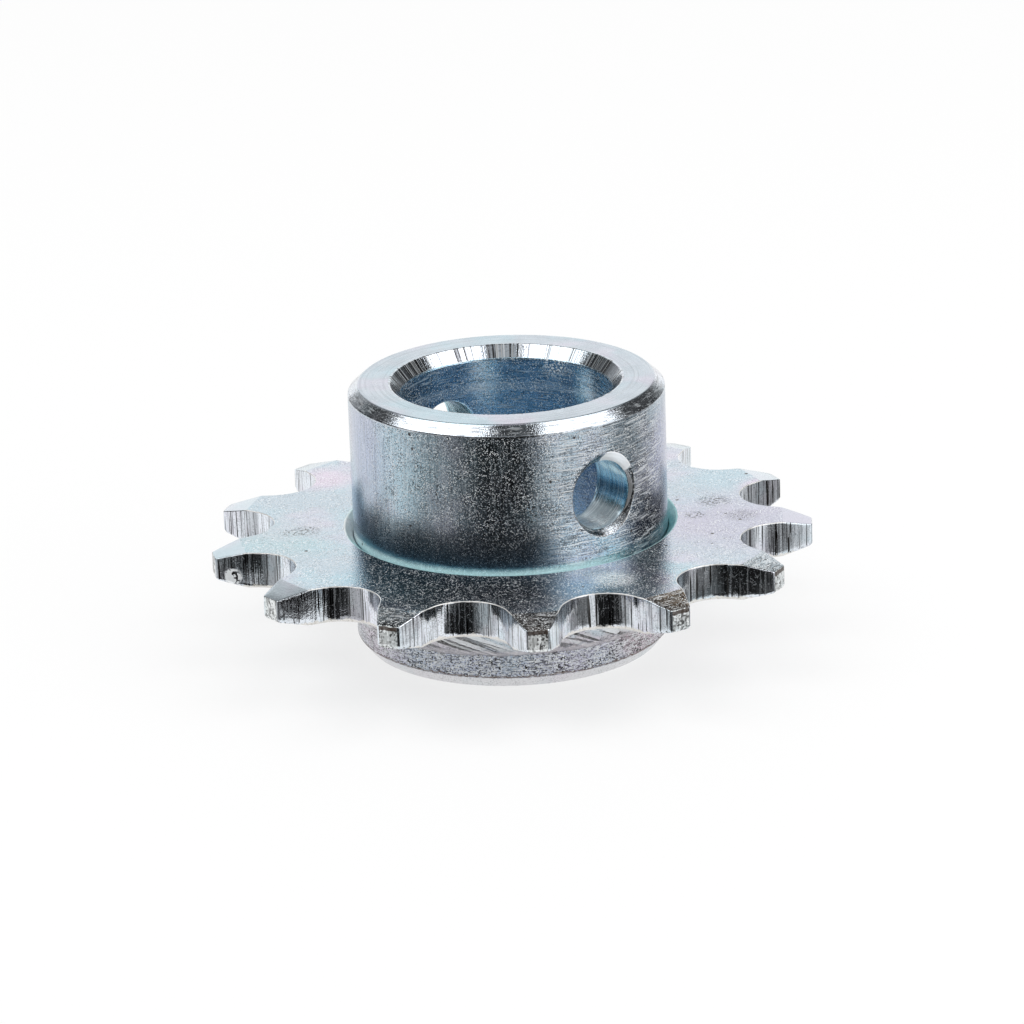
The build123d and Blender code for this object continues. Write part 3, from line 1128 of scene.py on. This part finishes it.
plateLooks = dict(
    plateFace=dict(
        base=(0.45, 0.54, 0.61, 1),
        patch=9,
        amount=0.6,
        tints=[
            dict(spot=around(-161, 19.4, 11.6), reach=8, color=(0.32, 0.52, 0.62, 1), strength=0.8),
            dict(spot=around(-126, 20, 11.6), reach=8, color=(0.48, 0.47, 0.54, 1), strength=0.8),
            # painted highlight: matt white spot on the plate, right of the front
            dict(spot=around(-98.5, 20.2, 11.6), reach=3.0, color=(1.0, 1.0, 1.0, 1), strength=1.0),
            # blue film tint, also a painted reflection glow beside the painted highlight
            dict(spot=around(-110, 20.5, 11.6), reach=4.0, color=(0.32, 0.53, 0.72, 1), strength=0.65),
            dict(spot=around(-44, 21.2, 11.6), reach=12, color=(0.47, 0.465, 0.57, 1), strength=0.9),
            dict(spot=around(-9, 23.7, 11.6), reach=6, color=(0.4, 0.56, 0.64, 1), strength=0.7),
            dict(spot=around(-21, 26, 11.6), reach=4, color=(0.78, 0.52, 0.66, 1), strength=0.7),
            dict(spot=around(106, 22.8, 11.6), reach=5, color=(0.72, 0.58, 0.7, 1), strength=0.7),
            dict(spot=around(154, 22.4, 11.6), reach=8, color=(0.4, 0.54, 0.58, 1), strength=0.7),
        ],
        rough=(0.13, 0.16),
        grain=dict(size=0.085, depth=0.012),
        specks=dict(darkShare=0.26, dark=0.4, brightShare=0.13, bright=0.95),
        pits=dict(share=0.05, spacing=0.9, depth=0.03),
        scuffs=[
            dict(spot=around(148, 19.5, 11.6), reach=1.7, size=0.22, dark=0.9, depth=0.04),
            dict(spot=around(149, 20.9, 11.6), reach=1.2, size=0.22, dark=0.9, depth=0.04),
            dict(spot=around(-38, 17.6, 11.6), reach=1.3, size=0.22, dark=0.9, depth=0.04),
            dict(spot=around(-26, 19.8, 11.6), reach=2.0, size=0.16, dark=0.8, depth=0.03),
            dict(spot=around(-39, 22.0, 11.6), reach=2.0, size=0.14, dark=0.6, depth=0.02),
            # painted highlight: bright grains on the same spot
            dict(spot=around(-98.5, 20.2, 11.6), reach=2.6, size=0.13, bright=0.9, depth=0.01),
        ],
    ),
    tipBevel=dict(
        base=(0.52, 0.6, 0.65, 1),
        patch=8,
        amount=0.3,
        tints=[
            dict(spot=around(-44, 28, 11), reach=12, color=(0.56, 0.55, 0.64, 1), strength=0.9),
            dict(spot=around(-126, 26, 11), reach=9, color=(0.42, 0.34, 0.3, 1), strength=0.8),
            dict(spot=around(-92, 27.2, 11), reach=5, color=(0.4, 0.31, 0.22, 1), strength=0.9),
        ],
        rough=(0.12, 0.18),
        grain=dict(size=0.09, depth=0.01),
        specks=dict(darkShare=0.34, dark=0.1, brightShare=0.16, bright=0.12),
        # painted shade and painted glints on the front teeth
        paintedShadeAndGlints=dict(where=(-112, 62, 40), dark=0.85, bright=0.8),
        pits=dict(share=0.06, spacing=0.9, depth=0.03),
        lines=[
            dict(kind="flat", pitch=0.11, length=0.9, gather=0.8, depth=0.014, dark=0.8, bright=0.6,
                 where=(-112, 62, 40)),
        ],
    ),
    gapWall=dict(
        base=(0.8, 0.85, 0.91, 1),
        patch=4,
        amount=0.3,
        tints=[
            dict(spot=around(2, 26.4, 10), reach=1.6, color=(0.42, 0.3, 0.2, 1), strength=0.8),
        ],
        rough=(0.08, 0.12),
        grain=dict(size=0.12, depth=0.004),
        specks=dict(darkShare=0.2, dark=0.3, brightShare=0.1, bright=0.2),
        lines=[
            dict(kind="upright", pitch=0.24, length=6.0, gather=0.3, depth=0.018, dark=0.0, bright=0.0),
            dict(kind="upright", pitch=0.13, length=3.5, gather=0.9, depth=0.006, dark=1.0, bright=0.16),
        ],
        bands=[
            # painted highlight: cream line along the walls' broken lower edge
            dict(middle=8.15, half=0.3, ragged=0.9, soft=0.4, color=(0.86, 0.83, 0.78, 1), strength=0.8,
                 metal=0.4),
            # painted highlight: white line along the walls' upper edge
            dict(middle=11.57, half=0.07, ragged=0.14, soft=0.3, color=(0.94, 0.92, 0.89, 1),
                 strength=0.8, metal=0.3),
        ],
        scuffs=[
            dict(spot=around(158, 27.1, 9.2), reach=1.2, size=0.5, dark=0.9, depth=0.05),
        ],
        # painted highlight: crisp white blob on one wall of a tooth gap
        paintedHighlights=[
            dict(spot=around(158, 27.1, 9.2), reach=1.45),
        ],
    ),
    tipLand=dict(
        base=(0.85, 0.88, 0.88, 1),
        metal=0.5,
        patch=4,
        amount=0.2,
        rough=(0.25, 0.3),
        grain=dict(size=0.18, depth=0.03),
        specks=dict(darkShare=0.35, dark=0.9, brightShare=0.2, bright=0.5),
        lines=[
            dict(kind="upright", pitch=0.2, length=1.0, gather=0.6, depth=0.03, dark=0.9, bright=0.3),
        ],
        bands=[
            dict(middle=10.68, half=0.22, ragged=0.3, soft=0.3, color=(0.07, 0.05, 0.04, 1), strength=0.9,
                 metal=1.0, where=(-112, 60, 45)),
        ],
    ),
    holeEdge=dict(
        base=(0.58, 0.93, 0.94, 1),
        metal=0.2,
        patch=4,
        amount=0.1,
        tints=[
            # cream on the left: teal film colour lightened by a painted highlight
            dict(spot=around(144, 15.5, 11.3), reach=6, color=(0.94, 0.97, 0.96, 1), strength=0.9),
            # dark teal on the right: film colour darkened by painted shade
            dict(spot=around(-36, 15.5, 11.3), reach=7, color=(0.12, 0.42, 0.44, 1), strength=0.9),
        ],
        rough=(0.2, 0.26),
        grain=dict(size=0.2, depth=0.01),
        specks=dict(darkShare=0.2, dark=0.2, brightShare=0.1, bright=0.1),
    ),
)
dressPiece(toothedPlate, plateLooks)

weldLooks = dict(
    weldBead=dict(
        base=(0.6, 0.58, 0.62, 1),
        patch=4,
        amount=0.4,
        rough=(0.14, 0.24),
        grain=dict(size=0.12, depth=0.02),
        specks=dict(darkShare=0.3, dark=0.5, brightShare=0.15, bright=0.4),
        lines=[
            dict(kind="bead", pitch=0.34, length=5.0, gather=0.3, depth=0.08, dark=1.0, bright=0.9),
        ],
        bands=[
            dict(middle=3.6, half=0.75, ragged=0.7, soft=0.6, color=(0.93, 0.87, 0.89, 1), strength=0.8,
                 metal=0.4),
        ],
    ),
)
dressPiece(weldBead, weldLooks)

# azimuths on the stage are seen from the sprocket: 0 is the camera's side, more is to its right
stage = dict(
    floorSize=8000,
    floorColor=(0.95, 0.95, 0.95, 1),
    floorGlow=0.75,         # how far the floor goes to plain white in the picture and in reflections
    worldColor=(1.0, 1.0, 1.0, 1),
    worldStrength=0.50,
    # softboxes: place (right, towards the camera, up) and size in m, turn in plan or None to face the part,
    # brightness
    softboxes=dict(
        topRight=((0.51, 0.04, 0.70), (0.69, 0.52), 15, 2.3),
        topLeft=((-0.48, 0.03, 0.70), (0.76, 0.50), -23, 2.3),
        back=((0, -0.96, 0.29), (0.95, 0.62), None, 0.69),
        frontRight=((0.86, 0.44, 0.27), (0.98, 0.52), None, 1.3),
    ),
    # cards that only reflections see: azimuths and elevations as (starts, full from, full to, ends), and
    # brightness
    cards=dict(
        frontLeft=((-154, -130, 18, 28), (0, 0, 40, 50), 0.10),
        backRight=((95, 105, 142, 155), (0, 0, 44, 50), 0.08),
        overBack=((120, 125, 235, 240), (41, 46, 61, 66), 0.10),
        overTop=((-180, -180, 180, 180), (66, 74, 90, 90), 0.12),
        frontBelow=((-44, -34, 18, 31), (-60, -50, 0, 0), 0.015),
        leftBelow=((-86, -56, -30, -20), (-60, -50, 0, 0), 0.40),
        rightBelow=((70, 86, 98, 150), (-60, -50, 0, 0), 0.34),
    ),
    cardDistance=1400,
    cardGrid=(25, 61),      # rows, columns
    # a wide card further out, for reflections that pass under the floor and beside those cards
    behind=dict(distance=1680, brightness=1.0),
    # small cards on the floor beside the stand: azimuths, mm from the bore's axis, brightness
    shades=dict(
        rightShade=((22, 34, 54, 74), (36, 42, 52, 64), 0.11),
        frontShade=((-16, -11, 16, 24), (36, 37.5, 53, 58), 0.01),
        leftGlow=((-54, -50, -32, -27), (34, 36, 42.5, 44.5), 0.55),
    ),
    shadeGrid=(21, 41),
    shadeLift=0.3,          # off the floor
    stand=(28, 36),         # mm from the bore's axis where the floor ends for reflections
)


def stageDirection(azimuth, elevation=0.0):
    a, b, e = math.radians(camera["azimuth"]), math.radians(azimuth), math.radians(elevation)
    toCamera, right = Vector((math.sin(a), -math.cos(a), 0)), Vector((math.cos(a), math.sin(a), 0))
    flat = math.cos(b) * toCamera + math.sin(b) * right
    return math.cos(e) * flat + Vector((0, 0, math.sin(e)))


def emptyMaterial(name):
    m = bpy.data.materials.new(name)
    m.use_nodes = True
    m.node_tree.nodes.clear()
    return m, m.node_tree


def mixShaders(tree, share, first, second):
    return addNode(tree, "ShaderNodeMixShader", {0: share, 1: first.outputs[0], 2: second.outputs[0]})


def floorMaterial(s):
    # matt; the camera and reflections see it lifted towards white, with the shadow still on it; only the part
    # of it round the hub's foot shows in reflections
    m, tree = emptyMaterial("paleFloor")
    matt = addNode(tree, "ShaderNodeBsdfDiffuse", {"Color": s["floorColor"]})
    white = addNode(tree, "ShaderNodeEmission")
    clear = addNode(tree, "ShaderNodeBsdfTransparent")
    path = addNode(tree, "ShaderNodeLightPath").outputs
    seen = larger(tree, path["Is Camera Ray"], path["Is Glossy Ray"])
    seen = larger(tree, seen, path["Is Transmission Ray"])
    pale = mixShaders(tree, times(tree, seen, s["floorGlow"]), matt, white)
    spot = addNode(tree, "ShaderNodeTexCoord").outputs["Object"]
    nearEdge, farEdge = s["stand"]
    beyond = remap(tree, vectorCalc(tree, "LENGTH", spot), nearEdge * mm, farEdge * mm)
    whole = mixShaders(tree, times(tree, beyond, path["Is Glossy Ray"]), pale, clear)
    addNode(tree, "ShaderNodeOutputMaterial", {"Surface": whole.outputs[0]})
    return m


def cardMaterial(name, brightness):
    # see-through where the attribute "cover" is 0
    m, tree = emptyMaterial(name)
    m.cycles.emission_sampling = "NONE"
    cover = addNode(tree, "ShaderNodeAttribute", attribute_name="cover").outputs["Fac"]
    clear = addNode(tree, "ShaderNodeBsdfTransparent")
    glow = addNode(tree, "ShaderNodeEmission", {"Color": (brightness, brightness, brightness, 1)})
    card = mixShaders(tree, cover, clear, glow)
    addNode(tree, "ShaderNodeOutputMaterial", {"Surface": card.outputs[0]})
    return m


def fade(x, steps):
    # 0 outside the first and last steps, 1 between the two inner ones
    low, fullFrom, fullTo, high = steps
    up = 1.0 if fullFrom <= low else smoothStep(low, fullFrom, x)
    down = 1.0 if high <= fullTo else 1 - smoothStep(fullTo, high, x)
    return up * down


def addCard(name, alongRows, alongColumns, grid, brightness, placeOf):
    # a card with soft edges that only reflections see; placeOf gives the place of one row and column
    rows, columns = grid
    places, cover = [], []
    for u in np.linspace(alongRows[0], alongRows[3], rows):
        for v in np.linspace(alongColumns[0], alongColumns[3], columns):
            places.append(placeOf(u, v))
            cover.append(fade(u, alongRows) * fade(v, alongColumns))
    faces = []
    for i in range(rows - 1):
        for j in range(columns - 1):
            k = i * columns + j
            faces.append((k, k + 1, k + columns + 1, k + columns))
    card = newMesh(name, places, faces)
    card.data.attributes.new("cover", "FLOAT", "POINT").data.foreach_set("value", cover)
    card.data.materials.append(cardMaterial(name, brightness))
    card.visible_camera = False
    card.visible_diffuse = False
    card.visible_shadow = False
    card.visible_transmission = False
    card.visible_volume_scatter = False


def addSoftbox(name, place, size, turn, brightness):
    right, front, up = place
    data = bpy.data.lights.new(name, "AREA")
    data.shape = "RECTANGLE"
    data.size, data.size_y = size
    data.energy = brightness * math.pi * size[0] * size[1]
    lamp = bpy.data.objects.new(name, data)
    lamp.location = stageDirection(90) * right + stageDirection(0) * front + Vector((0, 0, up))
    if turn is None:
        lamp.rotation_euler = lamp.location.to_track_quat("Z", "Y").to_euler()
    else:
        lamp.rotation_euler = (0, 0, math.radians(camera["azimuth"] + turn))
    lamp.visible_camera = False
    bpy.context.scene.collection.objects.link(lamp)


def addStage(s):
    half = s["floorSize"] / 2
    corners = [(-half, -half, 0), (half, -half, 0), (half, half, 0), (-half, half, 0)]
    floor = newMesh("floor", corners, [(0, 1, 2, 3)])
    floor.data.materials.append(floorMaterial(s))

    world = bpy.data.worlds.new("studio")
    bpy.context.scene.world = world
    world.use_nodes = True
    sky = world.node_tree.nodes["Background"]
    sky.inputs["Color"].default_value = s["worldColor"]
    sky.inputs["Strength"].default_value = s["worldStrength"]

    for name, box in s["softboxes"].items():
        addSoftbox(name, *box)

    distance = s["cardDistance"]
    for name, (azimuths, elevations, brightness) in s["cards"].items():
        addCard(name, elevations, azimuths, s["cardGrid"], brightness,
                lambda e, a: stageDirection(a, e) * distance)
    behind = s["behind"]
    addCard("paleBelow", (-90, -90, 0, 0), (-180, -180, 180, 180), s["cardGrid"], behind["brightness"],
            lambda e, a: stageDirection(a, e) * behind["distance"])
    lift = Vector((0, 0, s["shadeLift"]))
    for name, (azimuths, reach, brightness) in s["shades"].items():
        addCard(name, reach, azimuths, s["shadeGrid"], brightness,
                lambda r, a: stageDirection(a) * r + lift)


addStage(stage)
bpy.context.scene.view_settings.view_transform = "Standard"
print("stage set")
